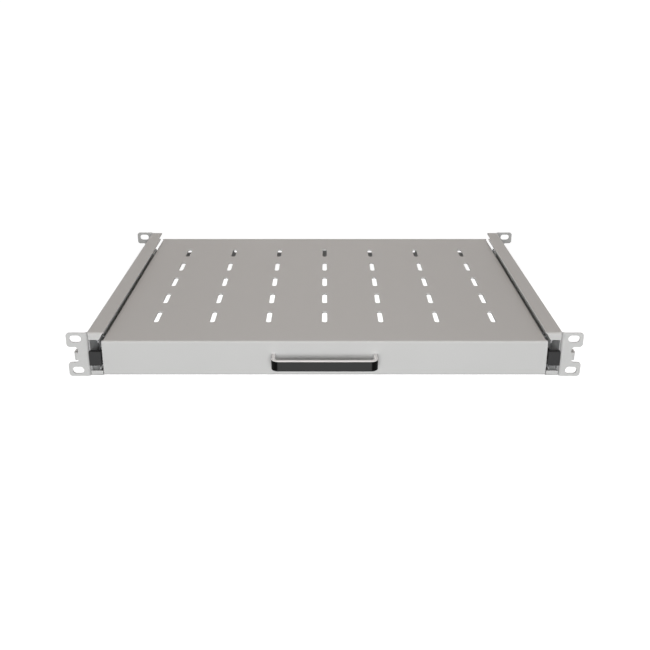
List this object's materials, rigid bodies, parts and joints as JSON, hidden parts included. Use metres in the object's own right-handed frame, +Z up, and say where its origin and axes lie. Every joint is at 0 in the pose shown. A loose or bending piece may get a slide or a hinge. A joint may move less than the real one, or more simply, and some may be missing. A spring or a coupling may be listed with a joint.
{
  "type": "sliding rack shelf",
  "caption": "Slotted sheet-steel shelf with a front pull that rolls out of a 19-inch rack on ball-bearing telescopic slides between two eared side rails.",
  "frame": {"origin": "middle of the front ears' slot pattern, on the ears' face that meets the rack posts", "axes": "+X to the right seen from the front, -Y out of the rack towards the user, +Z up"},
  "size_m": [0.4826, 0.3715, 0.0436],
  "materials": {
    "grey_paint": "light grey fine-textured powder coat",
    "zinc_steel": "bright zinc-plated rolled steel",
    "ball_steel": "polished",
    "black_plastic": "matte black moulding",
    "natural_plastic": "natural undyed moulding",
    "black_handle": "satin black",
    "fastener_steel": "zinc-plated"
  },
  "bodies": {
    "rack_rails": {"left_rail": "grey_paint", "left_rail_rivets": "fastener_steel", "left_slide_outer_member": "zinc_steel", "left_rear_buffer": "natural_plastic", "right_rail": "grey_paint", "right_rail_rivets": "fastener_steel", "right_slide_outer_member": "zinc_steel", "right_rear_buffer": "natural_plastic"},
    "shelf": {"shelf_tray": "grey_paint", "handle": "black_handle", "handle_screws": "fastener_steel", "left_slide_inner_member": "zinc_steel", "left_front_stop": "black_plastic", "left_tray_rivets": "fastener_steel", "right_slide_inner_member": "zinc_steel", "right_front_stop": "black_plastic", "right_tray_rivets": "fastener_steel"},
    "left_middle_member": {"left_slide_middle_member": "zinc_steel"},
    "left_outer_ball_cage": {"left_outer_ball_retainer": "zinc_steel", "left_outer_balls": "ball_steel"},
    "left_inner_ball_cage": {"left_inner_ball_retainer": "zinc_steel", "left_inner_balls": "ball_steel"},
    "right_middle_member": {"right_slide_middle_member": "zinc_steel"},
    "right_outer_ball_cage": {"right_outer_ball_retainer": "zinc_steel", "right_outer_balls": "ball_steel"},
    "right_inner_ball_cage": {"right_inner_ball_retainer": "zinc_steel", "right_inner_balls": "ball_steel"}
  },
  "joints": [
    {"name": "shelf_slide", "type": "slide", "parent": "rack_rails", "child": "shelf", "axis": [0, -1, 0], "range_m": [0, 0.3]},
    {"name": "left_middle_member_slide", "type": "slide", "parent": "rack_rails", "child": "left_middle_member", "axis": [0, -1, 0], "range_m": [0, 0.15]},
    {"name": "left_outer_ball_cage_slide", "type": "slide", "parent": "rack_rails", "child": "left_outer_ball_cage", "axis": [0, -1, 0], "range_m": [0, 0.075]},
    {"name": "left_inner_ball_cage_slide", "type": "slide", "parent": "rack_rails", "child": "left_inner_ball_cage", "axis": [0, -1, 0], "range_m": [0, 0.225]},
    {"name": "right_middle_member_slide", "type": "slide", "parent": "rack_rails", "child": "right_middle_member", "axis": [0, -1, 0], "range_m": [0, 0.15]},
    {"name": "right_outer_ball_cage_slide", "type": "slide", "parent": "rack_rails", "child": "right_outer_ball_cage", "axis": [0, -1, 0], "range_m": [0, 0.075]},
    {"name": "right_inner_ball_cage_slide", "type": "slide", "parent": "rack_rails", "child": "right_inner_ball_cage", "axis": [0, -1, 0], "range_m": [0, 0.225]}
  ],
  "couplings": [
    {"joint": "left_middle_member_slide", "follows": "shelf_slide", "ratio": 0.5},
    {"joint": "left_outer_ball_cage_slide", "follows": "shelf_slide", "ratio": 0.25},
    {"joint": "left_inner_ball_cage_slide", "follows": "shelf_slide", "ratio": 0.75},
    {"joint": "right_middle_member_slide", "follows": "shelf_slide", "ratio": 0.5},
    {"joint": "right_outer_ball_cage_slide", "follows": "shelf_slide", "ratio": 0.25},
    {"joint": "right_inner_ball_cage_slide", "follows": "shelf_slide", "ratio": 0.75}
  ]
}
